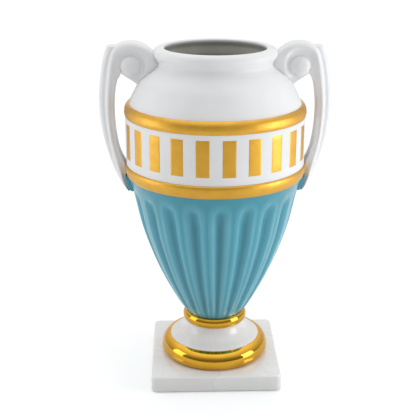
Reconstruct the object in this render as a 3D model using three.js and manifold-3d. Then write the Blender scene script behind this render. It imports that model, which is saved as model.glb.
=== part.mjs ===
// Two-handled amphora vase on a square plinth, made as cast porcelain sections
// stacked on a tie rod, with gilt brass rings over the joints.
// Millimetres, +Z up, origin at the centre of the face it stands on.
// The front is -Y and the two handles stand on +X and -X.
import * as THREE from "three";
import { mergeVertices } from "three/addons/utils/BufferGeometryUtils.js";
import Module from "manifold-3d";

const wasm = await Module();
wasm.setup();

// ---- Driving dimensions ----
const GAP = 0.3; // clearance between neighbouring pieces

const PAD_HEIGHT = 1.2;
const PAD_RADIUS = 8;
const PAD_OFFSET = 52;

const PLINTH_SIDE = 135;
const PLINTH_TOP = 18;
const PLINTH_CORNER = 6;
const PLINTH_EDGE = 1.6;

const COLLAR_BOTTOM = 54.7;
const COLLAR_TOP = 66.4;
const COLLAR_BORE = 28.8;
const SPOOL_TOP = 58;
const SEAL_THICKNESS = 1;

const BOWL_SHOULDER = 219.1; // where the fluted bowl steps in under the lower band
const DRUM_BOTTOM = 232.1;
const DRUM_TOP = 281.2;
const DRUM_RADIUS = 90.9;
const WALL = 6;
const SPIGOT_RADIUS = DRUM_RADIUS - WALL - GAP;
const SPIGOT_BORE = SPIGOT_RADIUS - 3.6;
const SPIGOT_DEPTH = 6;
const BAND_TOP = 293.5;
const BAND_BORE_LOW = 88.3;
const BAND_BORE_HIGH = 86.8;

const FLUTES = 20;
const FLUTE_PHASE = 1.5; // degrees, from the front towards +X
const FLUTE_TOP = 208;
const FLUTE_DEPTH_RATIO = 0.027; // depth over the bowl's own radius
const STEPS_PER_FLUTE = 5;

const PANELS_PER_SIDE = 10;
const PANEL_PHASE = -1.5; // degrees, from the front towards +X
const PANEL_PITCH = 15.85; // degrees
const PANEL_WIDTH = 8.15; // degrees
const PANEL_BOTTOM = 240.4;
const PANEL_TOP = 276;
const PANEL_RELIEF = 0.25;

const HANDLE_DEPTH = 26;
const LEAF_EDGE = 2.4;
const SPINE_DEPTH = 18;
const SPINE_EDGE = 1.8;
const SCROLL_X = 83.8; // centre of the scroll's eye
const SCROLL_Z = 330.8;
const EYE_RADIUS = 9.7;
const EYE_DOME = 2.4; // how far the eye's dome stands out of the handle's face
const BOSS_BOTTOM = 203.5; // the bowl's boss under each handle's tail
const BOSS_DEPTH = 27;

const ROD_RADIUS = 3; // M6
const ROD_BORE = 4.25;
const NUT_ACROSS_FLATS = 10;
const NUT_HEIGHT = 5;
const WASHER_RADIUS = 9;
const WASHER_THICKNESS = 1.2;
const FLOOR_SEAL_THICKNESS = 1.5;
const ROD_PROUD = 5; // rod above the upper nut
const ROD_BELOW = 0.8; // rod below the lower nut
const BOWL_FLOOR = 69;
const COUNTERBORE_RADIUS = 12;
const COUNTERBORE_TOP = 8.4;

const SEGMENTS = 48;
const DRUM_SEGMENTS = 60;

// ---- Materials ----
function finish(color, roughness, metalness) {
  return new THREE.MeshStandardMaterial({ color, roughness, metalness });
}

const bisque = finish(0xe6e4e2, 0.55, 0);
const glossWhite = finish(0xe9e5e5, 0.25, 0);
const turquoise = finish(0x5aa3b3, 0.35, 0);
const satinGold = finish(0xd9a441, 0.35, 1);
const polishedGold = finish(0xdaa136, 0.12, 1);
const steel = finish(0xa8abae, 0.35, 1);
const rubber = finish(0x2b2b2b, 0.8, 0);
const felt = finish(0x4d4a46, 0.95, 0);

// ---- Geometry helpers ----
const radians = THREE.MathUtils.degToRad;
const points = (...pairs) => pairs.map(([x, y]) => new THREE.Vector2(x, y));
const smooth = (steps, ...pairs) => new THREE.SplineCurve(points(...pairs)).getPoints(steps);

// Turns an outline of (radius, height) points about the Z axis. The outline runs up its outer side.
function turned(outline, segments = SEGMENTS) {
  return new THREE.LatheGeometry(outline, segments).rotateX(Math.PI / 2);
}

// A ring whose outline closes on itself.
function turnedRing(outline, segments = SEGMENTS) {
  return turned([...outline, outline[0].clone()], segments);
}

// A straight round post between two heights.
function post(radius, bottom, top, segments = 24) {
  return turned(points([0, bottom], [radius, bottom], [radius, top], [0, top]), segments);
}

// A flat shape in the XY plane, raised from one height to another.
function raised(shape, bottom, top, curveSegments = 12) {
  const options = { depth: top - bottom, bevelEnabled: false, curveSegments };
  return new THREE.ExtrudeGeometry(shape, options).translate(0, 0, bottom);
}

// A side-view outline in X and Z, given a depth along Y with rounded edges.
function slab(outline, depth, edge) {
  const options = {
    depth: depth - 2 * edge,
    bevelThickness: edge,
    bevelSize: edge,
    bevelOffset: -edge,
    bevelSegments: 1,
  };
  const geometry = new THREE.ExtrudeGeometry(new THREE.Shape(outline), options);
  return geometry.rotateX(Math.PI / 2).translate(0, depth / 2 - edge, 0);
}

function solid(geometry) {
  const bare = geometry.clone();
  bare.deleteAttribute("normal");
  bare.deleteAttribute("uv");
  const merged = mergeVertices(bare, 1e-4);
  const vertProperties = merged.attributes.position.array;
  const triVerts = new Uint32Array(merged.index.array);
  return new wasm.Manifold(new wasm.Mesh({ numProp: 3, vertProperties, triVerts }));
}

function geometryOf(manifold) {
  const { vertProperties, triVerts } = manifold.getMesh();
  const geometry = new THREE.BufferGeometry();
  geometry.setAttribute("position", new THREE.BufferAttribute(vertProperties, 3));
  geometry.setIndex(new THREE.BufferAttribute(triVerts, 1));
  return geometry.toNonIndexed();
}

const amphora = new THREE.Group();

function add(name, geometry, material) {
  geometry.computeVertexNormals();
  const mesh = new THREE.Mesh(geometry, material);
  mesh.name = name;
  amphora.add(mesh);
}

// ---- Outer outlines of the body, from the collar to the lip ----
const bowlFlare = smooth(6, [30.6, COLLAR_TOP + GAP], [40.2, 81], [59.3, 118.8], [75.1, 162], [83.8, 199.8]);
const bowlTop = points([85.3, FLUTE_TOP], [88.7, BOWL_SHOULDER]);
const lowerBandFace = smooth(4, [89.6, BOWL_SHOULDER], [91.9, 223.5], [92.6, 229], [92, DRUM_BOTTOM]);
const upperBandFace = smooth(5, [91.1, DRUM_TOP], [91.8, 285], [91, 290.4], [87.6, BAND_TOP]);
const shoulderFace = smooth(
  5,
  [86.2, BAND_TOP + GAP],
  [80.6, 306],
  [74.8, 316.5],
  [65.5, 324.5],
  [59, 329],
);
const neckFace = smooth(4, [57.5, 332.5], [59.4, 336.8], [61.9, 342.3]);
const lipFace = smooth(4, [61.7, 344], [59.2, 347], [54.2, 348.5], [50.9, 347.3]);

// ---- Foot ----
function feltPad() {
  return post(PAD_RADIUS, 0, PAD_HEIGHT, 16);
}

function plinth() {
  const reach = PLINTH_SIDE / 2 - PLINTH_EDGE;
  const corner = PLINTH_CORNER - PLINTH_EDGE;
  const centre = reach - corner;
  const shape = new THREE.Shape();
  shape.absarc(centre, centre, corner, 0, Math.PI / 2);
  shape.absarc(-centre, centre, corner, Math.PI / 2, Math.PI);
  shape.absarc(-centre, -centre, corner, Math.PI, 1.5 * Math.PI);
  shape.absarc(centre, -centre, corner, 1.5 * Math.PI, 2 * Math.PI);
  const options = {
    depth: PLINTH_TOP - PAD_HEIGHT - 2 * PLINTH_EDGE,
    bevelThickness: PLINTH_EDGE,
    bevelSize: PLINTH_EDGE,
    bevelSegments: 3,
    curveSegments: 4,
  };
  const slabGeometry = new THREE.ExtrudeGeometry(shape, options).translate(0, 0, PAD_HEIGHT + PLINTH_EDGE);
  const rodBore = solid(post(ROD_BORE, 0, PLINTH_TOP + 1));
  const counterbore = solid(post(COUNTERBORE_RADIUS, 0, COUNTERBORE_TOP));
  return geometryOf(solid(slabGeometry).subtract(rodBore).subtract(counterbore));
}

function footRing() {
  const face = smooth(6, [55, PLINTH_TOP], [57.4, 25], [55.6, 31.5], [51.8, 35.6], [48, 37.1]);
  return turnedRing([...face, ...points([47.9, PLINTH_TOP])]);
}

function footSpool() {
  const cove = smooth(6, [47.5, 37.6], [39.5, 40.2], [33.4, 45], [30.6, 51], [30.2, COLLAR_BOTTOM]);
  const seat = COLLAR_BORE - GAP;
  const top = points([seat, COLLAR_BOTTOM], [seat, SPOOL_TOP], [ROD_BORE, SPOOL_TOP]);
  const inside = points([ROD_BORE, 50], [22, 49], [27, 42], [41.5, 32], [41.5, PLINTH_TOP]);
  return turnedRing([...points([47.5, PLINTH_TOP]), ...cove, ...top, ...inside]);
}

function collarRing() {
  const face = smooth(6, [31, COLLAR_BOTTOM], [33.6, 58], [33.9, 62], [32.6, 65], [30.2, COLLAR_TOP]);
  return turnedRing([...face, ...points([COLLAR_BORE, COLLAR_TOP], [COLLAR_BORE, COLLAR_BOTTOM])]);
}

// ---- Body sections ----
// How far the bowl's surface is cut in at a turn angle: 1 in a flute's middle, 0 on a ridge.
function fluteCut(angle) {
  const pitch = 360 / FLUTES;
  const turns = (angle - FLUTE_PHASE) / pitch;
  const fromMiddle = Math.abs(turns - Math.round(turns));
  return fromMiddle < 1 / STEPS_PER_FLUTE ? 1 : 0;
}

// The side view of the boss under the right handle's tail, grown outwards by a clearance.
function bossOutline(clearance) {
  const top = BOWL_SHOULDER - GAP + clearance;
  return points(
    [78, BOSS_BOTTOM - clearance],
    [86.6 + clearance, BOSS_BOTTOM - clearance],
    [88.4 + clearance, 207],
    [90.2 + clearance, 212.5],
    [92 + clearance, top],
    [78, top],
  );
}

function flutedBowl() {
  const neck = COLLAR_BORE - GAP;
  const skirt = BAND_BORE_LOW - GAP;
  const bottom = SPOOL_TOP + SEAL_THICKNESS;
  const outer = turned(
    [
      ...points([0, bottom], [neck, bottom], [neck, COLLAR_TOP + GAP]),
      ...bowlFlare,
      ...bowlTop,
      ...points([skirt, BOWL_SHOULDER], [skirt, DRUM_BOTTOM], [SPIGOT_RADIUS, DRUM_BOTTOM]),
      ...points([SPIGOT_RADIUS, DRUM_BOTTOM + SPIGOT_DEPTH], [0, DRUM_BOTTOM + SPIGOT_DEPTH]),
    ],
    FLUTES * STEPS_PER_FLUTE,
  );
  outer.rotateZ(radians(FLUTE_PHASE + 180 / FLUTES / STEPS_PER_FLUTE));
  const place = outer.attributes.position;
  for (let i = 0; i < place.count; i += 1) {
    const height = place.getZ(i);
    const angle = THREE.MathUtils.radToDeg(Math.atan2(place.getX(i), -place.getY(i)));
    const fluted = height > bowlFlare[0].y + 1 && height < FLUTE_TOP - 1;
    if (fluted) {
      const scale = 1 - FLUTE_DEPTH_RATIO * fluteCut(angle);
      place.setXY(i, place.getX(i) * scale, place.getY(i) * scale);
    }
  }
  const hollow = turned([
    ...points([0, BOWL_FLOOR], [16, BOWL_FLOOR]),
    ...smooth(4, [30, 78], [51, 118.8], [67, 162], [75.5, 199.8], [SPIGOT_BORE, BOWL_SHOULDER]),
    ...points([SPIGOT_BORE, DRUM_TOP], [0, DRUM_TOP]),
  ]);
  const bore = solid(post(ROD_BORE, SPOOL_TOP, BOWL_FLOOR + 1));
  const boss = solid(slab(bossOutline(0), BOSS_DEPTH, 1));
  return geometryOf(
    solid(outer).add(boss).add(boss.mirror([1, 0, 0])).subtract(solid(hollow)).subtract(bore),
  );
}

function lowerGiltBand() {
  const bore = points([BAND_BORE_LOW, DRUM_BOTTOM], [BAND_BORE_LOW, BOWL_SHOULDER]);
  return turnedRing([...lowerBandFace, ...bore]);
}

// A shallow raised field on the drum, the ground for one gilt panel.
function panelField(middle) {
  const from = radians(middle - PANEL_WIDTH / 2 - 90);
  const to = radians(middle + PANEL_WIDTH / 2 - 90);
  const shape = new THREE.Shape();
  shape.absarc(0, 0, DRUM_RADIUS + PANEL_RELIEF, from, to, false);
  shape.absarc(0, 0, DRUM_RADIUS - 1, to, from, true);
  return raised(shape, PANEL_BOTTOM, PANEL_TOP, 3);
}

function friezeDrum() {
  const inner = DRUM_RADIUS - WALL;
  const wall = points(
    [DRUM_RADIUS, DRUM_BOTTOM],
    [DRUM_RADIUS, DRUM_TOP],
    [inner, DRUM_TOP],
    [inner, DRUM_BOTTOM],
  );
  let drum = solid(turnedRing(wall, DRUM_SEGMENTS));
  for (const side of [0, 180]) {
    for (let i = 0; i < PANELS_PER_SIDE; i += 1) {
      const middle = side + PANEL_PHASE + (i - (PANELS_PER_SIDE - 1) / 2) * PANEL_PITCH;
      drum = drum.add(solid(panelField(middle)));
    }
  }
  return geometryOf(drum);
}

function upperGiltBand() {
  const bore = points([BAND_BORE_HIGH, BAND_TOP], [BAND_BORE_HIGH, DRUM_TOP]);
  return turnedRing([...upperBandFace, ...bore]);
}

function shoulderNeck() {
  const skirt = BAND_BORE_HIGH - GAP;
  const bottom = DRUM_TOP - SPIGOT_DEPTH;
  const throat = smooth(3, [51.2, 345], [52.8, 340], [52.6, 331], [57.5, 325.5], [66, 317]);
  const inside = points([73.5, 306], [79.4, 293], [SPIGOT_BORE, DRUM_TOP], [SPIGOT_BORE, bottom]);
  return turnedRing([
    ...points([SPIGOT_RADIUS, bottom], [SPIGOT_RADIUS, DRUM_TOP], [skirt, DRUM_TOP], [skirt, BAND_TOP]),
    ...shoulderFace,
    ...neckFace,
    ...lipFace,
    ...throat,
    ...inside,
  ]);
}

// ---- Handles ----
// Everything that the handles are fitted to, one clearance outside the body.
function bodyEnvelope() {
  const surface = [
    ...bowlFlare.slice(-2),
    ...bowlTop,
    ...lowerBandFace,
    ...points([DRUM_RADIUS + PANEL_RELIEF, DRUM_BOTTOM], [DRUM_RADIUS + PANEL_RELIEF, DRUM_TOP]),
    ...upperBandFace,
    ...shoulderFace,
    ...neckFace,
    ...lipFace,
  ];
  const grown = surface.map(({ x, y }) => new THREE.Vector2(x + 1.5 * GAP, y));
  const bottom = grown[0].y;
  const top = grown[grown.length - 1].y;
  const outline = [...points([0, bottom]), ...grown, ...points([0, top])];
  const boss = solid(slab(bossOutline(GAP), 2 * BOSS_DEPTH, 1));
  return solid(turned(outline, DRUM_SEGMENTS)).add(boss);
}

// The strap's main leaf: from the tail on the bowl, up past the drum and over into the scroll.
function handleLeaf() {
  const strap = smooth(
    9,
    [89.4, 203],
    [97.2, 215.5],
    [102.7, 235],
    [107.2, 258],
    [109.5, 285],
    [108.9, 306],
    [106.2, 327],
    [99.6, 347.8],
  );
  const scroll = smooth(8, [94.8, 351.5], [82.5, 353.6], [70.8, 350.6], [60, 342]);
  const root = points([57, 335], [57, 328], [76, 312.6]);
  const inner = smooth(7, [93, 322.2], [99, 311], [101.6, 287], [100.4, 262], [95.4, 239.5], [90.4, 229]);
  return [...strap, ...scroll, ...root, ...inner, ...points([84, 222], [80, 203])];
}

// The narrower spine along the back of the strap, which stops at a flat top beside the scroll.
function handleSpine() {
  const back = smooth(
    9,
    [91.2, 203.6],
    [101.6, 222],
    [110.1, 247],
    [115.2, 273],
    [116.4, 289],
    [113.9, 322],
    [110.2, 340],
    [106.8, 350],
  );
  const front = smooth(5, [96, 350], [101, 338], [104, 318], [105, 289], [101, 250], [92, 215]);
  return [...back, ...front, ...points([86, 205])];
}

// A turned shape about the scroll's axis, from an outline of (radius, depth) points.
function turnedOnScroll(outline) {
  return solid(new THREE.LatheGeometry(outline, 24).translate(SCROLL_X, 0, SCROLL_Z));
}

// The scroll's domed eye, which stands out of both faces.
function scrollEye() {
  const half = HANDLE_DEPTH / 2;
  const dome = points([EYE_RADIUS, half - 2], [7, half + EYE_DOME - 1.2], [4, half + EYE_DOME - 0.3]);
  const front = [...dome, ...points([0, half + EYE_DOME])];
  const back = front.map(({ x, y }) => new THREE.Vector2(x, -y)).reverse();
  return turnedOnScroll([...back, ...front]);
}

// The hollow that falls from the scroll's crest to the foot of the eye, on the +Y face.
function scrollHollow() {
  const half = HANDLE_DEPTH / 2;
  const bottom = points([EYE_RADIUS - 0.5, half + 1], [EYE_RADIUS - 0.5, half - 3.4]);
  const slope = points([15.6, half - 0.3], [15.6, half + 1]);
  return turnedOnScroll([...bottom, ...slope, bottom[0].clone()]);
}

function rightHandle(envelope) {
  const leaf = solid(slab(handleLeaf(), HANDLE_DEPTH, LEAF_EDGE));
  const spine = solid(slab(handleSpine(), SPINE_DEPTH, SPINE_EDGE));
  const hollow = scrollHollow();
  const face = leaf.subtract(hollow).subtract(hollow.mirror([0, 1, 0]));
  return face.add(spine).add(scrollEye()).subtract(envelope);
}

// ---- Tie rod and its fasteners ----
function washer(inner, outer, bottom, thickness) {
  const top = bottom + thickness;
  return turnedRing(points([outer, bottom], [outer, top], [inner, top], [inner, bottom]), 24);
}

function hexNut(bottom) {
  const corner = NUT_ACROSS_FLATS / 2 / Math.cos(Math.PI / 6);
  const shape = new THREE.Shape();
  for (let i = 0; i < 6; i += 1) {
    const angle = (i * Math.PI) / 3;
    shape[i === 0 ? "moveTo" : "lineTo"](corner * Math.cos(angle), corner * Math.sin(angle));
  }
  const bore = new THREE.Path();
  bore.absarc(0, 0, ROD_RADIUS + GAP, 0, 2 * Math.PI);
  shape.holes.push(bore);
  return raised(shape, bottom, bottom + NUT_HEIGHT);
}

// ---- Assembly, from the ground up ----
for (const [name, x, y] of [
  ["felt_pad_front_left", -PAD_OFFSET, -PAD_OFFSET],
  ["felt_pad_front_right", PAD_OFFSET, -PAD_OFFSET],
  ["felt_pad_back_left", -PAD_OFFSET, PAD_OFFSET],
  ["felt_pad_back_right", PAD_OFFSET, PAD_OFFSET],
]) {
  add(name, feltPad().translate(x, y, 0), felt);
}
add("plinth", plinth(), glossWhite);
add("foot_ring", footRing(), polishedGold);
add("foot_spool", footSpool(), glossWhite);
add("collar_ring", collarRing(), polishedGold);
add("bowl_seal", washer(ROD_BORE, 24, SPOOL_TOP, SEAL_THICKNESS), rubber);
add("fluted_bowl", flutedBowl(), turquoise);
add("lower_gilt_band", lowerGiltBand(), satinGold);
add("frieze_drum", friezeDrum(), bisque);
add("upper_gilt_band", upperGiltBand(), satinGold);
add("shoulder_neck", shoulderNeck(), bisque);

const right = rightHandle(bodyEnvelope());
add("handle_right", geometryOf(right), bisque);
add("handle_left", geometryOf(right.mirror([1, 0, 0])), bisque);

const rodHole = ROD_RADIUS + GAP;
const lowerWasherBottom = COUNTERBORE_TOP - WASHER_THICKNESS;
const lowerNutBottom = lowerWasherBottom - NUT_HEIGHT;
const upperSealTop = BOWL_FLOOR + FLOOR_SEAL_THICKNESS;
const upperNutBottom = upperSealTop + WASHER_THICKNESS;
const rodTop = upperNutBottom + NUT_HEIGHT + ROD_PROUD;
add("tie_rod", post(ROD_RADIUS, lowerNutBottom - ROD_BELOW, rodTop), steel);
add("lower_nut", hexNut(lowerNutBottom), steel);
add("lower_washer", washer(rodHole, WASHER_RADIUS, lowerWasherBottom, WASHER_THICKNESS), steel);
add("floor_seal", washer(rodHole, WASHER_RADIUS + 1, BOWL_FLOOR, FLOOR_SEAL_THICKNESS), rubber);
add("upper_washer", washer(rodHole, WASHER_RADIUS, upperSealTop, WASHER_THICKNESS), steel);
add("upper_nut", hexNut(upperNutBottom), steel);

export default amphora;
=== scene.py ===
"""Two-handled amphora vase: the detailed pieces, materials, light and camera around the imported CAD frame.

Outlines are written in millimetres as (radius, height) or (x, z) and turned into metres when a mesh is made.
"""
import math

import bmesh
import bpy
from mathutils import Matrix, Vector

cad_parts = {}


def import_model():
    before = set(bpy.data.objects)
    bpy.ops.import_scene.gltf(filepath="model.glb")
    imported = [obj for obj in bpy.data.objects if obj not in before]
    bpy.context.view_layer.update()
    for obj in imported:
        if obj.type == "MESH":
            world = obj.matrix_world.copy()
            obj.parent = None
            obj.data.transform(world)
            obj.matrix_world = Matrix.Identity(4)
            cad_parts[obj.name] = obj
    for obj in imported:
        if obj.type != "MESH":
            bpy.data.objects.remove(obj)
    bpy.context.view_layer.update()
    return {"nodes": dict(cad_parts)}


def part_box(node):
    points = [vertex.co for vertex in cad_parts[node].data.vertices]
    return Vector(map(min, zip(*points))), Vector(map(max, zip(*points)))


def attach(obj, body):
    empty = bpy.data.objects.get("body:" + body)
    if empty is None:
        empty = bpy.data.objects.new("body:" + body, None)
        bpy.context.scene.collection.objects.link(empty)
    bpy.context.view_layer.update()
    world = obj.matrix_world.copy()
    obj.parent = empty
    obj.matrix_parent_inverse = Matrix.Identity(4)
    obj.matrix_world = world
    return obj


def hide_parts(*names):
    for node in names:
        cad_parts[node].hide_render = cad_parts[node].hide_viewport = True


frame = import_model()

MM = 0.001


# ---------------------------------------------------------------- sizes from the frame
def span(node):
    """A turned node's lowest height, highest height and outer radius, in millimetres."""
    low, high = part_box(node)
    return low.z / MM, high.z / MM, high.y / MM


PLINTH_LOW, PLINTH_TOP, PLINTH_HALF = span("plinth")
RING_LOW, RING_TOP, RING_RADIUS = span("foot_ring")
SPOOL_LOW, SPOOL_TOP, SPOOL_RADIUS = span("foot_spool")
COLLAR_LOW, COLLAR_TOP, COLLAR_RADIUS = span("collar_ring")
BOWL_LOW, BOWL_TOP = span("fluted_bowl")[:2]
LOWER_BAND_LOW, LOWER_BAND_TOP, LOWER_BAND_RADIUS = span("lower_gilt_band")
DRUM_LOW, DRUM_TOP, FIELD_RADIUS = span("frieze_drum")
UPPER_BAND_LOW, UPPER_BAND_TOP, UPPER_BAND_RADIUS = span("upper_gilt_band")
NECK_LOW, LIP_TOP, NECK_RADIUS = span("shoulder_neck")
HANDLE_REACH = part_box("handle_right")[1].x / MM

# ---------------------------------------------------------------- details of the pieces, in millimetres
AROUND = 192  # steps around a turned piece
AROUND_FLUTE = 24  # steps around one flute and the land beside it
CREASE = 40  # degrees at which an edge stays sharp
DRUM_RADIUS = FIELD_RADIUS - 0.25
ROD_BORE = 4.25  # radius of the tie rod's bore through plinth, spool and bowl
PLINTH_CORNER = 6
PLINTH_EDGE = 2.2
FLUTES = 20
FLUTE_PHASE = 1.5  # degrees from the front towards +X
FLUTE_WIDTH = 0.57  # share of the pitch
FLUTE_DEPTH = 0.056  # of the bowl's radius
FLUTE_TOP = BOWL_TOP - 29.6
FLUTE_ARCH = 10  # height of the rounded top
FLUTE_RUNOUT = 22  # height over which a flute reaches its full depth
FLUTE_START = 14  # height over which it rises from the collar
HIGHLIGHT_MIDDLE = 1.05  # where the painted highlight is strongest, in halves of a flute from its middle
HIGHLIGHT_REACH = 0.85  # how far the painted highlight reaches to either side of that
PANELS_PER_SIDE = 10
PANEL_PHASE = -1.5  # degrees from the front towards +X
PANEL_PITCH = 15.85  # degrees
PANEL_WIDTH = 8.15  # degrees
PANEL_LOW = DRUM_LOW + 8.3
PANEL_HIGH = DRUM_TOP - 5.2
SCROLL = (83.8, 330.8)  # centre of the scroll's eye
EYE_RADIUS = 9.7


# ---------------------------------------------------------------- outline helpers
def between(t, a, b, c, d):
    """The value at t, from 0 to 1, between b and c on a smooth line through a, b, c and d."""
    square = 2 * a - 5 * b + 4 * c - d
    cube = 3 * b - a - 3 * c + d
    return 0.5 * (2 * b + (c - a) * t + square * t ** 2 + cube * t ** 3)


def curve(steps, *points):
    """A smooth line through the points, as steps points for each stretch between two of them."""
    first = tuple(2 * a - b for a, b in zip(points[0], points[1]))
    last = tuple(2 * a - b for a, b in zip(points[-1], points[-2]))
    ends = [first, *points, last]
    line = []
    for stretch in zip(ends, ends[1:], ends[2:], ends[3:]):
        for k in range(steps):
            line.append(tuple(between(k / steps, *values) for values in zip(*stretch)))
    return line + [tuple(points[-1])]


def softened(points, radius, steps=4):
    """A closed outline of straight edges with each corner rounded by radius."""
    line = []
    count = len(points)
    for i, here in enumerate(points):
        corner = Vector(here)
        before = Vector(points[i - 1]) - corner
        after = Vector(points[(i + 1) % count]) - corner
        cut = min(radius, 0.45 * before.length, 0.45 * after.length)
        start = corner + before.normalized() * cut
        end = corner + after.normalized() * cut
        for k in range(steps + 1):
            t = k / steps
            line.append(tuple(start * (1 - t) ** 2 + corner * 2 * t * (1 - t) + end * t ** 2))
    return line


# ---------------------------------------------------------------- mesh helpers
def linked(name, data):
    """A new object in the scene that holds the data."""
    obj = bpy.data.objects.new(name, data)
    bpy.context.scene.collection.objects.link(obj)
    return obj


def smooth(mesh, crease):
    """Shades a mesh smooth, except along edges sharper than crease, in degrees."""
    mesh.shade_smooth()
    mesh.set_sharp_from_angle(angle=math.radians(crease))


def mesh_object(name, vertices, faces, crease=CREASE):
    """A smooth-shaded object from vertices in millimetres."""
    mesh = bpy.data.meshes.new(name)
    mesh.from_pydata([Vector(v) * MM for v in vertices], [], faces)
    mesh.validate()
    smooth(mesh, crease)
    return linked(name, mesh)


def turned(name, outline, around=AROUND, crease=CREASE, reach=None):
    """Turns a closed outline of (radius, height) points about the Z axis.

    reach, if given, is the radius to use for a point at (radius, height, angle).
    """
    vertices = []
    for i in range(around):
        angle = 2 * math.pi * i / around
        for radius, height in outline:
            r = reach(radius, height, angle) if reach else radius
            vertices.append((r * math.sin(angle), -r * math.cos(angle), height))
    count = len(outline)
    faces = []
    for i in range(around):
        here, there = i * count, (i + 1) % around * count
        for j in range(count):
            k = (j + 1) % count
            faces.append((here + j, there + j, there + k, here + k))
    return mesh_object(name, vertices, faces, crease)


def place(obj, material, slot, *nodes):
    """Gives a finished piece its material and its body, and hides the CAD nodes it stands for; slot is not
    used.
    """
    obj.data.materials.clear()
    obj.data.materials.append(material)
    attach(obj, "root")
    if nodes:
        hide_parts(*nodes)
    return obj


# ---------------------------------------------------------------- material helpers
class Paint:
    """A procedural material, made of a principled shader and the noises that vary it."""

    def __init__(self, name, **sockets):
        self.material = bpy.data.materials.new(name)
        self.material.use_nodes = True
        self.nodes = self.material.node_tree.nodes
        self.links = self.material.node_tree.links
        self.shader = self.nodes["Principled BSDF"]
        for socket, value in sockets.items():
            self.shader.inputs[socket.replace("_", " ")].default_value = value
        self.position = self.nodes.new("ShaderNodeTexCoord").outputs["Object"]

    def noise(self, size_mm, detail=3.0, roughness=0.5, stretch=(1, 1, 1)):
        """Noise with blobs about size_mm across."""
        mapping = self.nodes.new("ShaderNodeMapping")
        mapping.inputs["Scale"].default_value = stretch
        texture = self.nodes.new("ShaderNodeTexNoise")
        texture.inputs["Scale"].default_value = 1 / (size_mm * MM)
        texture.inputs["Detail"].default_value = detail
        texture.inputs["Roughness"].default_value = roughness
        self.links.new(self.position, mapping.inputs["Vector"])
        self.links.new(mapping.outputs["Vector"], texture.inputs["Vector"])
        return texture.outputs["Fac"]

    def attribute(self, name):
        """A number stored at each point of the mesh."""
        node = self.nodes.new("ShaderNodeAttribute")
        node.attribute_name = name
        return node.outputs["Fac"]

    def ramp(self, factor, *stops):
        """Colours or greys along factor, each stop (position, colour)."""
        node = self.nodes.new("ShaderNodeValToRGB")
        elements = node.color_ramp.elements
        while len(elements) < len(stops):
            elements.new(0.5)
        for element, (position, colour) in zip(elements, stops):
            element.position = position
            element.color = (*colour, 1)
        self.links.new(factor, node.inputs["Fac"])
        return node.outputs["Color"]

    def remap(self, value, low, high, start=0.3, end=0.7):
        """Stretches value so that start to end becomes low to high."""
        node = self.nodes.new("ShaderNodeMapRange")
        node.inputs["From Min"].default_value = start
        node.inputs["From Max"].default_value = end
        node.inputs["To Min"].default_value = low
        node.inputs["To Max"].default_value = high
        self.links.new(value, node.inputs["Value"])
        return node.outputs["Result"]

    def mix(self, factor, first, second, blend="MIX"):
        """Mixes two colours. Each input is a node's output or a plain value."""
        node = self.nodes.new("ShaderNodeMix")
        node.data_type = "RGBA"
        node.blend_type = blend
        sockets = {"Factor": factor, "A": first, "B": second}
        for socket in node.inputs:
            value = sockets.get(socket.name) if socket.enabled else None
            if isinstance(value, bpy.types.NodeSocket):
                self.links.new(value, socket)
            elif value is not None:
                socket.default_value = value if socket.name == "Factor" else (*value, 1)
        return next(s for s in node.outputs if s.enabled)

    def drive(self, socket, value):
        """Joins a node's output to one of the shader's sockets."""
        self.links.new(value, self.shader.inputs[socket])

    def bump(self, *layers):
        """Stacks bumps, each (height socket, depth in millimetres)."""
        normal = None
        for height, depth in layers:
            node = self.nodes.new("ShaderNodeBump")
            node.inputs["Strength"].default_value = 1
            node.inputs["Distance"].default_value = depth * MM
            self.links.new(height, node.inputs["Height"])
            if normal:
                self.links.new(normal, node.inputs["Normal"])
            normal = node.outputs["Normal"]
        self.links.new(normal, self.shader.inputs["Normal"])


def bisque_porcelain():
    paint = Paint("white bisque porcelain", Roughness=0.5, IOR=1.5)
    cloud = paint.noise(38, 2)
    paint.drive("Base Color", paint.ramp(cloud, (0.35, (0.805, 0.81, 0.815)), (0.65, (0.835, 0.84, 0.85))))
    paint.drive("Roughness", paint.remap(paint.noise(9, 4), 0.44, 0.58))
    paint.bump((paint.noise(22, 1), 0.06), (paint.noise(0.45, 2), 0.006))
    return paint.material


def raw_porcelain():
    paint = Paint("raw porcelain inside", Roughness=0.75, IOR=1.45)
    cloud = paint.noise(24, 3)
    paint.drive("Base Color", paint.ramp(cloud, (0.35, (0.5, 0.475, 0.425)), (0.65, (0.56, 0.535, 0.485))))
    paint.drive("Roughness", paint.remap(paint.noise(6, 3), 0.68, 0.82))
    paint.bump((paint.noise(1.2, 3), 0.02))
    return paint.material


def white_glaze():
    paint = Paint("white glaze", Roughness=0.22, IOR=1.5, Coat_Weight=0.4, Coat_Roughness=0.12)
    cloud = paint.noise(45, 2)
    paint.drive("Base Color", paint.ramp(cloud, (0.35, (0.775, 0.76, 0.75)), (0.65, (0.815, 0.80, 0.79))))
    paint.drive("Roughness", paint.remap(paint.noise(30, 1), 0.24, 0.3))
    paint.bump((paint.noise(30, 0), 0.02))
    return paint.material


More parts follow.
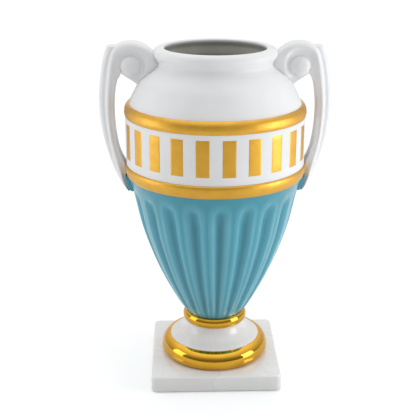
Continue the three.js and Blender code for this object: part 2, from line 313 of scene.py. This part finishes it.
def turquoise_glaze():
    """A deep turquoise glaze, with a painted highlight along the flutes' edges and a darker tone where they
    are cut deepest, partly glaze pooled there and partly painted shade.
    """
    paint = Paint(
        "turquoise glaze",
        Roughness=0.3,
        IOR=1.45,
        Coat_Weight=0.7,
        Coat_Roughness=0.15,
        Sheen_Weight=0.35,
        Sheen_Roughness=0.35,
        Sheen_Tint=(0.55, 0.88, 1, 1),
    )
    # darker where a flute is cut deepest: partly glaze pooled in the hollows, partly painted shade
    pooled_and_shaded = paint.attribute("pooling_and_painted_shade")
    deep = paint.ramp(
        pooled_and_shaded,
        (0.0, (0.03, 0.285, 0.375)),
        (0.25, (0.03, 0.29, 0.385)),
        (1.0, (0.013, 0.24, 0.325)),
    )
    # painted highlight: a pale turquoise mixed in along the flutes' edges and onto the lands beside them
    edge_highlight = paint.ramp(paint.attribute("painted_edge_highlight"), (0.0, (0, 0, 0)), (1.0, (0.48, 0.48, 0.48)))
    tone = paint.mix(edge_highlight, deep, (0.19, 0.6, 0.74))
    mottle = paint.ramp(paint.noise(30, 3), (0.3, (0.94, 0.96, 0.97)), (0.7, (1.0, 1.0, 1.0)))
    paint.drive("Base Color", paint.mix(1.0, tone, mottle, "MULTIPLY"))
    paint.drive("Roughness", paint.remap(paint.noise(30, 1), 0.28, 0.34))
    paint.bump((paint.noise(30, 0), 0.02))
    return paint.material


def satin_gilding():
    """Burnished fired gilding."""
    paint = Paint("satin gilding", Metallic=1.0, Roughness=0.48, Coat_Weight=0.6, Coat_Roughness=0.35)
    gold = paint.ramp(paint.noise(14, 4), (0.3, (0.70, 0.375, 0.03)), (0.7, (0.77, 0.43, 0.042)))
    paint.drive("Base Color", gold)
    paint.drive("Roughness", paint.remap(paint.noise(5, 4), 0.42, 0.54))
    paint.bump((paint.noise(14, 1), 0.03), (paint.noise(0.5, 2), 0.003))
    return paint.material


def polished_gilding():
    paint = Paint("polished gilding", Metallic=1.0, Roughness=0.08)
    cloud = paint.noise(20, 3)
    paint.drive("Base Color", paint.ramp(cloud, (0.3, (0.68, 0.36, 0.03)), (0.7, (0.76, 0.42, 0.045))))
    paint.drive("Roughness", paint.remap(paint.noise(7, 4), 0.05, 0.12))
    paint.bump((paint.noise(16, 1), 0.012), (paint.noise(0.8, 2), 0.001))
    return paint.material


def plated_steel():
    paint = Paint("zinc plated steel", Metallic=1.0, Roughness=0.35)
    cloud = paint.noise(3, 4)
    paint.drive("Base Color", paint.ramp(cloud, (0.3, (0.52, 0.53, 0.54)), (0.7, (0.66, 0.67, 0.68))))
    paint.drive("Roughness", paint.remap(paint.noise(1.2, 4), 0.28, 0.46))
    paint.bump((paint.noise(0.4, 3), 0.01))
    return paint.material


def black_rubber():
    paint = Paint("black rubber", Roughness=0.8)
    cloud = paint.noise(4, 3)
    paint.drive("Base Color", paint.ramp(cloud, (0.3, (0.02, 0.02, 0.02)), (0.7, (0.045, 0.045, 0.045))))
    paint.drive("Roughness", paint.remap(paint.noise(1, 3), 0.7, 0.88))
    paint.bump((paint.noise(0.3, 3), 0.02))
    return paint.material


def grey_felt():
    paint = Paint("grey felt", Roughness=0.95, Sheen_Weight=0.4)
    fibre = paint.noise(0.35, 5, 0.7, (1, 1, 3))
    paint.drive("Base Color", paint.ramp(fibre, (0.3, (0.05, 0.047, 0.044)), (0.7, (0.13, 0.122, 0.115))))
    paint.drive("Roughness", paint.remap(paint.noise(2, 3), 0.88, 1.0))
    paint.bump((fibre, 0.15))
    return paint.material


BISQUE = bisque_porcelain()
RAW = raw_porcelain()
GLAZE = white_glaze()
TURQUOISE = turquoise_glaze()
SATIN_GOLD = satin_gilding()
POLISHED_GOLD = polished_gilding()
STEEL = plated_steel()
RUBBER = black_rubber()
FELT = grey_felt()


# ---------------------------------------------------------------- foot
def rounded_square(half, corner, steps=8):
    """A square of the given half width with corners of radius corner."""
    line = []
    centre = half - corner
    for turn in range(4):
        for k in range(steps + 1):
            angle = math.pi / 2 * (turn + k / steps)
            quadrant = math.pi / 2 * turn + math.pi / 4
            x = math.copysign(centre, math.cos(quadrant)) + corner * math.cos(angle)
            y = math.copysign(centre, math.sin(quadrant)) + corner * math.sin(angle)
            line.append((x, y))
    return line


def plinth():
    """A slab with soft edges, a bore for the tie rod, and a recess under it for the nut."""
    recess_radius = 12
    recess_top = 8.4
    under_edge = 1.2
    steps = 6
    levels = []
    for k in range(steps + 1):
        angle = math.pi / 2 * k / steps
        levels.append((PLINTH_LOW + under_edge * (1 - math.cos(angle)), under_edge * (1 - math.sin(angle))))
    for k in range(steps + 1):
        angle = math.pi / 2 * k / steps
        levels.append((PLINTH_TOP - PLINTH_EDGE * (1 - math.sin(angle)), PLINTH_EDGE * (1 - math.cos(angle))))
    rings = []
    for z, inset in levels:
        square = rounded_square(PLINTH_HALF - inset, PLINTH_CORNER - 0.8 * inset)
        rings.append([(x, y, z) for x, y in square])
    count = len(rings[0])

    def circle(radius, z):
        ring = []
        for x, y, _ in rings[0]:
            angle = math.atan2(y, x)
            ring.append((radius * math.cos(angle), radius * math.sin(angle), z))
        return ring

    rings += [circle(ROD_BORE, PLINTH_TOP), circle(ROD_BORE, recess_top)]
    rings += [circle(recess_radius, recess_top), circle(recess_radius, PLINTH_LOW)]
    faces = []
    total = len(rings)
    for i in range(total):
        for j in range(count):
            k = (j + 1) % count
            low, high = i * count, (i + 1) % total * count
            faces.append((low + j, low + k, high + k, high + j))
    obj = mesh_object("plinth_slab", [v for ring in rings for v in ring], faces, 35)
    return place(obj, GLAZE, "gloss_white", "plinth")


def felt_pads():
    for node in sorted(n for n in frame["nodes"] if n.startswith("felt_pad")):
        low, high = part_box(node)
        radius = (high.x - low.x) / 2 / MM
        height = high.z / MM
        disc = [(0.4, 0), (radius, 0), (radius, height), (0.4, height)]
        obj = turned(node + "_disc", softened(disc, 0.35, 3), 48)
        centre = (low + high) / 2
        obj.data.transform(Matrix.Translation((centre.x, centre.y, 0)))
        place(obj, FELT, "felt", node)


def foot_ring():
    inner = SPOOL_RADIUS + 0.02
    face = curve(
        5,
        (RING_RADIUS - 2.6, RING_LOW + 0.3),
        (RING_RADIUS - 0.4, RING_LOW + 3.6),
        (RING_RADIUS, RING_LOW + 7),
        (RING_RADIUS - 1.7, RING_TOP - 5.4),
        (RING_RADIUS - 5, RING_TOP - 1.6),
        (RING_RADIUS - 8.2, RING_TOP),
    )
    lip = [(inner, RING_TOP), (inner, RING_LOW + 0.4), (inner + 0.4, RING_LOW)]
    obj = turned("foot_ring_moulding", face + lip + [(RING_RADIUS - 3, RING_LOW)])
    place(obj, POLISHED_GOLD, "polished_gilt", "foot_ring")


def foot_spool():
    cove = curve(
        6,
        (SPOOL_RADIUS, RING_TOP + 0.2),
        (SPOOL_RADIUS - 3.2, RING_TOP + 1.8),
        (SPOOL_RADIUS - 9.4, RING_TOP + 4.4),
        (SPOOL_RADIUS - 14.4, RING_TOP + 8.9),
        (SPOOL_RADIUS - 17, COLLAR_LOW - 3),
        (SPOOL_RADIUS - 17.2, COLLAR_LOW),
    )
    seat = 28.5
    top = [
        (seat, COLLAR_LOW + 0.1),
        (seat, SPOOL_TOP - 0.4),
        (seat - 0.4, SPOOL_TOP),
        (ROD_BORE + 0.35, SPOOL_TOP),
        (ROD_BORE, SPOOL_TOP - 0.4),
    ]
    hollow = curve(4, (ROD_BORE, 50), (20, 49.2), (26, 44), (33, 37), (41.5, 30), (41.5, SPOOL_LOW + 0.4))
    outline = [(SPOOL_RADIUS, SPOOL_LOW)] + cove + top + hollow + [(41.9, SPOOL_LOW)]
    place(turned("foot_spool_body", outline), GLAZE, "gloss_white", "foot_spool")


def collar_ring():
    bore = 28.8
    face = curve(
        5,
        (31, COLLAR_LOW + 0.2),
        (32.8, COLLAR_LOW + 1.6),
        (COLLAR_RADIUS - 0.1, COLLAR_LOW + 4),
        (COLLAR_RADIUS - 0.1, COLLAR_TOP - 4.4),
        (32.6, COLLAR_TOP - 1.5),
        (30.8, COLLAR_TOP),
    )
    back = [
        (bore + 0.5, COLLAR_TOP),
        (bore, COLLAR_TOP - 0.5),
        (bore, COLLAR_LOW + 0.4),
        (bore + 0.4, COLLAR_LOW),
        (30.6, COLLAR_LOW),
    ]
    obj = turned("collar_moulding", face + back)
    place(obj, POLISHED_GOLD, "polished_gilt", "collar_ring")


# ---------------------------------------------------------------- body
def flute_place(height, angle):
    """Where a point is across its flute: 0 in the middle, 1 at the edge, more on the land beside it."""
    pitch = 2 * math.pi / FLUTES
    turn = (angle - math.radians(FLUTE_PHASE)) / pitch
    across = abs(turn - round(turn)) / (FLUTE_WIDTH / 2)
    above_arch = FLUTE_ARCH - (FLUTE_TOP - height)
    if above_arch > 0:
        across = math.hypot(across, above_arch / FLUTE_ARCH)
    return across


def flute_fade(height):
    """The share of its full depth that a flute has at this height."""
    depth = min(1, 0.35 + 0.65 * (FLUTE_TOP - height) / FLUTE_RUNOUT)
    return depth * min(1, 0.25 + 0.75 * (height - COLLAR_TOP) / FLUTE_START)


def flute_cut(height, angle):
    """How deep a flute is cut here, from 0 on a land to 1 in a flute's middle."""
    across = flute_place(height, angle)
    return 0 if across >= 1 else flute_fade(height) * (1 - across ** 2)


def painted_edge_highlight(height, angle):
    """How much painted highlight a point gets, from 0 to 1 near a flute's edge."""
    away = abs(flute_place(height, angle) - HIGHLIGHT_MIDDLE) / HIGHLIGHT_REACH
    return 0 if away >= 1 else max(0, flute_fade(height)) * (1 - away ** 2) ** 2


def fluted_bowl():
    """The bowl with its flutes. Each point stores how deep and how near an edge it is, for the glaze's darker
    hollows (pooling and painted shade) and its painted edge highlight.
    """
    skirt = LOWER_BAND_RADIUS - 4.6
    seat = BOWL_TOP - 6
    face = curve(
        14,
        (30.4, COLLAR_TOP + 0.2),
        (40.2, 81),
        (59.3, 118.8),
        (75.1, 162),
        (83.8, 199.8),
        (88.6, LOWER_BAND_LOW),
    )
    top = [(skirt, LOWER_BAND_LOW + 0.2), (skirt, seat), (84.6, seat), (84.6, BOWL_TOP), (81, BOWL_TOP)]
    hollow = curve(8, (81, LOWER_BAND_LOW), (75.5, 199.8), (67, 162), (51, 118.8), (30, 78), (16, 69))
    floor = [(ROD_BORE, 69), (ROD_BORE, BOWL_LOW), (28.5, BOWL_LOW), (28.5, COLLAR_TOP)]
    outline = face + top + hollow + floor
    outside = set(face)

    def outer(measure, radius, height, angle):
        return measure(height, angle) if (radius, height) in outside else 0

    def reach(radius, height, angle):
        return radius * (1 - FLUTE_DEPTH * outer(flute_cut, radius, height, angle))

    around = FLUTES * AROUND_FLUTE
    obj = turned("fluted_bowl_body", outline, around, 50, reach)
    turns = [2 * math.pi * i / around for i in range(around)]
    # the cut depth darkens the glaze (pooling and painted shade); the edge measure drives the painted
    # highlight
    for name, measure in (("pooling_and_painted_shade", flute_cut), ("painted_edge_highlight", painted_edge_highlight)):
        layer = obj.data.attributes.new(name, "FLOAT", "POINT")
        layer.data.foreach_set("value", [outer(measure, r, z, angle) for angle in turns for r, z in outline])
    place(obj, TURQUOISE, "turquoise_glaze", "fluted_bowl")


def lower_gilt_band():
    bore = LOWER_BAND_RADIUS - 4.3
    r, low, high = LOWER_BAND_RADIUS, LOWER_BAND_LOW, LOWER_BAND_TOP
    face = curve(
        5,
        (r - 3.1, low),
        (r - 1.7, low + 2),
        (r - 0.5, low + 5.4),
        (r, low + 9),
        (r - 0.4, high - 1.2),
        (r - 1.6, high),
    )
    back = [(bore + 0.5, high), (bore, high - 0.5), (bore, low + 0.5), (bore + 0.4, low)]
    place(turned("lower_band_moulding", face + back), SATIN_GOLD, "satin_gilt", "lower_gilt_band")


def frieze_drum():
    inner = DRUM_RADIUS - 6
    wall = [(DRUM_RADIUS, DRUM_LOW), (DRUM_RADIUS, DRUM_TOP), (inner, DRUM_TOP), (inner, DRUM_LOW)]
    place(turned("frieze_drum_wall", softened(wall, 0.5)), BISQUE, "white_bisque", "frieze_drum")


def gilt_panel(name, middle):
    """A patch of gilding on the drum, a rectangle with soft edges that follows the curve."""
    across = 14
    up = 14
    soft = 0.5
    vertices = []
    width = math.radians(PANEL_WIDTH) * DRUM_RADIUS
    height = PANEL_HIGH - PANEL_LOW
    centre = (PANEL_LOW + PANEL_HIGH) / 2
    for layer in (0, 1):
        for i in range(across + 1):
            for j in range(up + 1):
                a = (i / across - 0.5) * width
                b = (j / up - 0.5) * height
                edge = min(width / 2 - abs(a), height / 2 - abs(b))
                lift = 0.22 * min(1, edge / soft) if layer else -0.3
                angle = math.radians(middle) + a / DRUM_RADIUS
                radius = DRUM_RADIUS + 0.02 + lift
                vertices.append((radius * math.sin(angle), -radius * math.cos(angle), centre + b))
    stride = up + 1
    sheet = (across + 1) * stride
    faces = []
    for i in range(across):
        for j in range(up):
            a, b = i * stride + j, (i + 1) * stride + j
            faces.append((sheet + a, sheet + b, sheet + b + 1, sheet + a + 1))
            faces.append((a + 1, b + 1, b, a))
    rim = [i * stride for i in range(across + 1)]
    rim += [across * stride + j for j in range(1, up + 1)]
    rim += [i * stride + up for i in range(across - 1, -1, -1)]
    rim += range(up - 1, 0, -1)
    for a, b in zip(rim, rim[1:] + rim[:1]):
        faces.append((a, b, sheet + b, sheet + a))
    return place(mesh_object(name, vertices, faces, 60), SATIN_GOLD, "satin_gilt")


def gilt_panels():
    for side, turn in (("front", 0), ("back", 180)):
        for i in range(PANELS_PER_SIDE):
            middle = turn + PANEL_PHASE + (i - (PANELS_PER_SIDE - 1) / 2) * PANEL_PITCH
            gilt_panel(f"gilt_panel_{side}_{i + 1:02d}", middle)


def upper_gilt_band():
    bore = UPPER_BAND_RADIUS - 5
    r, low, high = UPPER_BAND_RADIUS, UPPER_BAND_LOW, UPPER_BAND_TOP
    face = curve(
        5,
        (r - 0.9, low),
        (r - 0.1, low + 2.4),
        (r, low + 5),
        (r - 0.7, low + 8.6),
        (r - 2.4, low + 11.2),
        (r - 4.2, high),
    )
    back = [(bore, high - 0.2), (bore, low + 0.5), (bore + 0.4, low)]
    place(turned("upper_band_moulding", face + back), SATIN_GOLD, "satin_gilt", "upper_gilt_band")


def shoulder_neck():
    """The shoulder, neck and lip, bisque outside and raw inside."""
    face = curve(
        7,
        (86.9, UPPER_BAND_TOP - 0.6),
        (84, 299.5),
        (80.3, 306.6),
        (75, 316),
        (68, 322.6),
        (61.2, 327.4),
        (57.9, 331),
        (57.6, 334.2),
        (59.6, 337.6),
        (61.6, 341),
        (61.4, 344.6),
        (59, 347.2),
        (55.4, LIP_TOP),
        (52.2, LIP_TOP - 0.2),
        (50.9, LIP_TOP - 1.4),
        (51.4, 344.2),
        (52.9, 340.4),
        (52.6, 331.4),
        (57.5, 325.5),
        (66, 317),
        (73.5, 306),
        (79.4, 293),
        (80.4, DRUM_TOP),
    )
    spigot = [
        (80.4, NECK_LOW),
        (84.6, NECK_LOW),
        (84.6, DRUM_TOP),
        (NECK_RADIUS, DRUM_TOP),
        (NECK_RADIUS, UPPER_BAND_TOP - 1),
    ]
    obj = place(turned("shoulder_neck_body", face + spigot), BISQUE, "white_bisque", "shoulder_neck")
    obj.data.materials.append(RAW)
    for polygon in obj.data.polygons:
        radius = math.hypot(polygon.center.x, polygon.center.y)
        inward = polygon.normal.x * polygon.center.x + polygon.normal.y * polygon.center.y < -0.3 * radius
        if inward and polygon.center.z < (LIP_TOP - 3) * MM:
            polygon.material_index = 1


# ---------------------------------------------------------------- fasteners
def fasteners():
    """The CAD's own rod, nuts, washers and seals, with better materials."""
    for node in ("tie_rod", "lower_nut", "lower_washer", "upper_nut", "upper_washer"):
        frame["nodes"][node].data.materials[0] = STEEL
    for node in ("bowl_seal", "floor_seal"):
        frame["nodes"][node].data.materials[0] = RUBBER


# ---------------------------------------------------------------- handles
def around_eye(radius, *turns):
    """Points around the scroll's eye, at the given angles in degrees."""
    x, z = SCROLL
    return [(x + radius * math.cos(math.radians(a)), z + radius * math.sin(math.radians(a))) for a in turns]


def lofted(sections):
    """A closed bmesh through sections, each a loop of (x, y, z) points with the same count."""
    bm = bmesh.new()
    loops = [[bm.verts.new(Vector(point) * MM) for point in section] for section in sections]
    for here, there in zip(loops, loops[1:]):
        for i, vertex in enumerate(here):
            k = (i + 1) % len(here)
            bm.faces.new((vertex, here[k], there[k], there[i]))
    bm.faces.new(reversed(loops[0]))
    bm.faces.new(loops[-1])
    return bm


def moulding_section(start, end, profile):
    """A loop across a strap from start to end, both (x, z). The profile is (share of the way, half depth)."""
    front = [(start[0] + t * (end[0] - start[0]), -y, start[1] + t * (end[1] - start[1])) for t, y in profile]
    back = [(x, -y, z) for x, y, z in reversed(front)]
    return front + back


# Across the leaf's face from its inner edge to its crest, as (share of the way, share of the rise).
# A negative rise is in millimetres and rounds the inner edge.
LEAF_HOLLOW = [
    (0, -1.2),
    (0.05, -0.3),
    (0.15, 0),
    (0.35, 0.05),
    (0.55, 0.18),
    (0.72, 0.42),
    (0.86, 0.74),
    (0.95, 0.94),
    (1, 1),
]
# From the crest to the outer edge.
LEAF_FALL = [(0.22, 0.96), (0.45, 0.84), (0.68, 0.62), (0.86, 0.36), (1, 0)]
LEAF_HALF_DEPTH = 9.6


def handle_leaf():
    """The strap with its hollow face and crest, from the tail on the bowl round the scroll's eye."""
    steps = 5
    inner = curve(
        steps,
        (86.7, 203.2), (88.3, 207), (90, 212.5), (91, 218.5), (90.3, 224), (90.6, 229),
        (95.4, 239.5), (98.6, 250), (100.4, 262), (101.4, 275), (101.6, 287), (100.9, 298),
        (99.3, 309), (97, 316.6), (94, 322),
        *around_eye(EYE_RADIUS - 0.2, -5, 22, 45, 68, 92, 110, 125, 142, 160),
        *around_eye(EYE_RADIUS - 0.2, 178, 193, 208, 224, 242, 264, 286, 308, 330),
    )
    outer = curve(
        steps,
        (89.2, 202.8), (93.2, 207.6), (95.9, 213), (98.3, 219.6), (100.4, 226), (102, 232),
        (104, 241), (106.1, 252), (107.8, 263), (109, 276), (109.6, 288), (109.3, 300),
        (108.4, 312), (107.1, 322), (105.3, 332),
        (103, 341), (99.8, 347.6), (95, 351.4), (89.5, 353.2), (82.5, 353.7), (76.2, 352.8), (70.8, 350.7),
        (65.2, 346.9), (59.8, 341.4), (56, 334), (57, 328.6), (63, 323.4), (70, 317.8), (76.2, 312.5),
        (82, 316), (87, 319.2), (91.2, 322), (95.5, 325.6),
    )
    sections = []
    for i, (start, end) in enumerate(zip(inner, outer)):
        width = math.dist(start, end)
        stretch = i / steps
        crest = max(0.55 * width, width - 4.4)
        if stretch > 18:
            crest = min(crest, max(6.5, 9.6 + 0.9 * (21 - stretch)))
        rise = 3.4 * min(1, max(0.05, 27.5 - stretch))
        share = crest / width
        profile = [(share * t, LEAF_HALF_DEPTH + (y if y < 0 else rise * y)) for t, y in LEAF_HOLLOW]
        profile += [(share * (1 - t) + t, 9 + (rise + 0.6) * y) for t, y in LEAF_FALL]
        sections.append(moulding_section(start, end, profile))
    return lofted(sections)


def handle_spine():
    """The narrower bar along the back of the strap, with a flat top beside the scroll."""
    top = 349.2
    inner = curve(
        4,
        (87.4, 204.6), (90.5, 212.5), (94, 222), (98.2, 234), (101.4, 247), (103.6, 260), (105, 273),
        (105.6, 287), (105.4, 300), (104.8, 311), (103.4, 322), (101.4, 332), (99, 340), (97, 345.4),
        (95.2, top),
    )
    outer = curve(
        4,
        (90.8, 203.2), (97.4, 212.5), (101.9, 222), (106.4, 234), (110.3, 247), (113.3, 260), (115.4, 273),
        (HANDLE_REACH, 287), (116.3, 300), (115.4, 311), (113.9, 322), (112.2, 332), (110.2, 340),
        (108.4, 345.4), (107, top),
    )
    profile = [
        (0, 8.8),
        (0.45, 8.9),
        (0.6, 8.8),
        (0.73, 8.3),
        (0.84, 7.2),
        (0.92, 5.7),
        (0.98, 3.4),
        (1, 1.2),
    ]
    sections = [moulding_section(start, end, profile) for start, end in zip(inner, outer)]
    last = sections[-1]
    middle = sum(x for x, _, _ in last) / len(last)
    for inset, rise in ((0.05, 0.5), (0.16, 0.8)):
        sections.append([(x + inset * (middle - x), y * (1 - inset), z + rise) for x, y, z in last])
    return lofted(sections)


def handle_eye():
    """The scroll's domed eye, a turned boss through the handle."""
    x, z = SCROLL
    dome = [
        (1, -3.4),
        (0.97, -2),
        (0.9, -0.5),
        (0.78, 0.7),
        (0.6, 1.6),
        (0.38, 2.2),
        (0.18, 2.4),
        (0.04, 2.45),
    ]
    half = [(EYE_RADIUS * share, 13 + y) for share, y in dome]
    profile = [(r, -y) for r, y in reversed(half)] + half
    turn = [2 * math.pi * k / 48 for k in range(48)]
    return lofted([[(x + r * math.cos(a), y, z + r * math.sin(a)) for a in turn] for r, y in profile])


def handle(name, mirrored):
    """The leaf, spine and eye fused into one casting with soft edges."""
    mesh = bpy.data.meshes.new(name)
    whole = bmesh.new()
    for part in (handle_leaf(), handle_spine(), handle_eye()):
        bmesh.ops.recalc_face_normals(part, faces=part.faces)
        bmesh.ops.triangulate(part, faces=part.faces)
        part.to_mesh(mesh)
        whole.from_mesh(mesh)
        part.free()
    if mirrored:
        bmesh.ops.scale(whole, vec=(-1, 1, 1), verts=whole.verts)
        bmesh.ops.reverse_faces(whole, faces=whole.faces)
    whole.to_mesh(mesh)
    whole.free()
    obj = linked(name, mesh)
    remesh = obj.modifiers.new("one casting", "REMESH")
    remesh.mode = "VOXEL"
    remesh.voxel_size = 0.5 * MM
    remesh.use_smooth_shade = True
    soften = obj.modifiers.new("soft edges", "SMOOTH")
    soften.factor = 0.5
    soften.iterations = 6
    depsgraph = bpy.context.evaluated_depsgraph_get()
    finished = bpy.data.meshes.new_from_object(obj.evaluated_get(depsgraph))
    obj.modifiers.clear()
    obj.data = finished
    finished.name = name
    bpy.data.meshes.remove(mesh)
    return obj


def handles():
    for node, mirrored in (("handle_right", False), ("handle_left", True)):
        place(handle(node + "_scroll", mirrored), BISQUE, "white_bisque", node)


def bowl_bosses():
    """The glazed bosses on the bowl that the handles' tails stand on."""
    top = LOWER_BAND_LOW - 0.3
    side = softened([(82, 203.2), (86.4, 203.2), (88.4, 207), (90.2, 212.5), (92, top), (82, top)], 0.8)
    half = 13.6
    near_end = [(-half, 0.8), (-half + 0.25, 0.25), (-half + 0.8, 0)]
    depths = near_end + [(-y, inset) for y, inset in reversed(near_end)]
    for name, sign in (("bowl_boss_right", 1), ("bowl_boss_left", -1)):
        sections = [[(sign * (x - inset), y, z + 0.3 * inset) for x, z in side] for y, inset in depths]
        bm = lofted(sections)
        bmesh.ops.recalc_face_normals(bm, faces=bm.faces)
        mesh = bpy.data.meshes.new(name)
        bm.to_mesh(mesh)
        bm.free()
        smooth(mesh, CREASE)
        place(linked(name, mesh), TURQUOISE, "turquoise_glaze")


# ---------------------------------------------------------------- stage
def floor():
    """A pale matt floor, with enough glow for the camera alone to see it as white as the world behind it."""
    half = 12
    corners = [(-half, -half, 0), (half, -half, 0), (half, half, 0), (-half, half, 0)]
    mesh = bpy.data.meshes.new("floor")
    mesh.from_pydata(corners, [], [(0, 1, 2, 3)])
    obj = linked("floor", mesh)
    paint = Paint(
        "pale floor",
        Roughness=1,
        Specular_IOR_Level=0,
        Base_Color=(0.8, 0.8, 0.8, 1),
        Emission_Color=(1, 1, 1, 1),
    )
    seen = paint.nodes.new("ShaderNodeLightPath").outputs["Is Camera Ray"]
    paint.drive("Emission Strength", paint.remap(seen, 0, 0.25, 0, 1))
    mesh.materials.append(paint.material)


def area_light(name, location, aim, size, power):
    """A cool white rectangle of light at location, turned towards aim."""
    data = bpy.data.lights.new(name, "AREA")
    data.shape = "RECTANGLE"
    data.size, data.size_y = size
    data.energy = power
    data.color = (0.96, 0.98, 1)
    obj = linked(name, data)
    obj.location = location
    obj.rotation_euler = (Vector(aim) - Vector(location)).to_track_quat("-Z", "Y").to_euler()


def lights():
    area_light("left softbox", (-1.0, -0.1, 0.35), (0, 0, 0.18), (0.5, 0.7), 2.2)
    area_light("right softbox", (1.0, -0.3, 0.3), (0, 0, 0.1), (0.5, 0.6), 4.4)


def world():
    """White to the camera. As light it is strongest overhead, and dimmer at the front than at the back."""
    scene = bpy.context.scene
    scene.world = bpy.data.worlds.new("studio")
    scene.world.use_nodes = True
    nodes, links = scene.world.node_tree.nodes, scene.world.node_tree.links

    def math_node(operation, *values):
        node = nodes.new("ShaderNodeMath")
        node.operation = operation
        for socket, value in zip(node.inputs, values):
            if isinstance(value, bpy.types.NodeSocket):
                links.new(value, socket)
            else:
                socket.default_value = value
        return node.outputs["Value"]

    backdrop = nodes["Background"]
    backdrop.inputs["Color"].default_value = (1, 1, 1, 1)
    room = nodes.new("ShaderNodeBackground")
    parts = nodes.new("ShaderNodeSeparateXYZ")
    links.new(nodes.new("ShaderNodeTexCoord").outputs["Generated"], parts.inputs["Vector"])
    depth = parts.outputs["Y"]
    sides = math_node("MULTIPLY_ADD", math_node("MULTIPLY_ADD", depth, 0.2, 0.38), depth, 0.42)
    overhead = math_node("POWER", math_node("MAXIMUM", parts.outputs["Z"], 0), 2)
    links.new(math_node("MULTIPLY_ADD", overhead, 1.5, sides), room.inputs["Strength"])
    path = nodes.new("ShaderNodeLightPath")
    mix = nodes.new("ShaderNodeMixShader")
    links.new(path.outputs["Is Camera Ray"], mix.inputs["Fac"])
    links.new(room.outputs["Background"], mix.inputs[1])
    links.new(backdrop.outputs["Background"], mix.inputs[2])
    links.new(mix.outputs["Shader"], nodes["World Output"].inputs["Surface"])


def camera():
    """The camera stands in front of the vase, a little above it, looking slightly down."""
    elevation = math.radians(19.2)
    azimuth = math.radians(-2.06)
    distance = 0.9406
    target = Vector((0, 0, 0.1777))
    roll = math.radians(0.217)
    picture_width = 420
    data = bpy.data.cameras.new("camera")
    data.lens = 76.92
    data.sensor_width = 36
    data.shift_x = -4.9 / picture_width
    obj = linked("camera", data)
    away = Vector((
        math.sin(azimuth) * math.cos(elevation),
        -math.cos(azimuth) * math.cos(elevation),
        math.sin(elevation),
    ))
    obj.location = target + away * distance
    obj.rotation_euler = (-away).to_track_quat("-Z", "Y").to_euler()
    obj.rotation_euler.rotate_axis("Z", roll)
    bpy.context.scene.camera = obj


camera()
plinth()
felt_pads()
foot_ring()
foot_spool()
collar_ring()
fluted_bowl()
lower_gilt_band()
frieze_drum()
gilt_panels()
upper_gilt_band()
shoulder_neck()
bowl_bosses()
handles()
fasteners()
floor()
lights()
world()
bpy.context.scene.view_settings.view_transform = "Standard"
